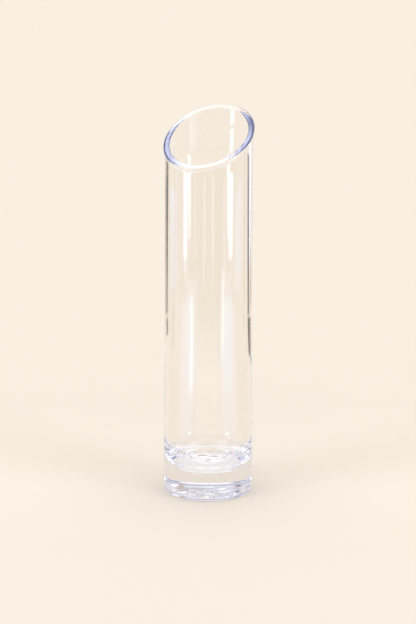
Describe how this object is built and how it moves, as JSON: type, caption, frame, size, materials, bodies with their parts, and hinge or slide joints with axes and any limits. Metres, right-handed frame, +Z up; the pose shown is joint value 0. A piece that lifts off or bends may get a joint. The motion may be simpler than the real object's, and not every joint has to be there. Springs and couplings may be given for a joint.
{
  "type": "cylinder vase",
  "caption": "Straight clear glass cylinder vase with a slanted, polished mouth, a thick solid base and a rounded cavity floor.",
  "frame": {"origin": "centre of the foot, on the surface that the vase stands on", "axes": "+Z up along the vase's axis; +Y points to the high side of the slanted mouth; the vase is its own mirror image in the YZ plane"},
  "size_m": [0.06, 0.06, 0.26],
  "materials": {
    "clear_glass": "fire polished, clear with a faint blue-violet edge"
  },
  "bodies": {
    "root": {"vessel_wall": "clear_glass", "solid_base": "clear_glass"}
  },
  "joints": []
}
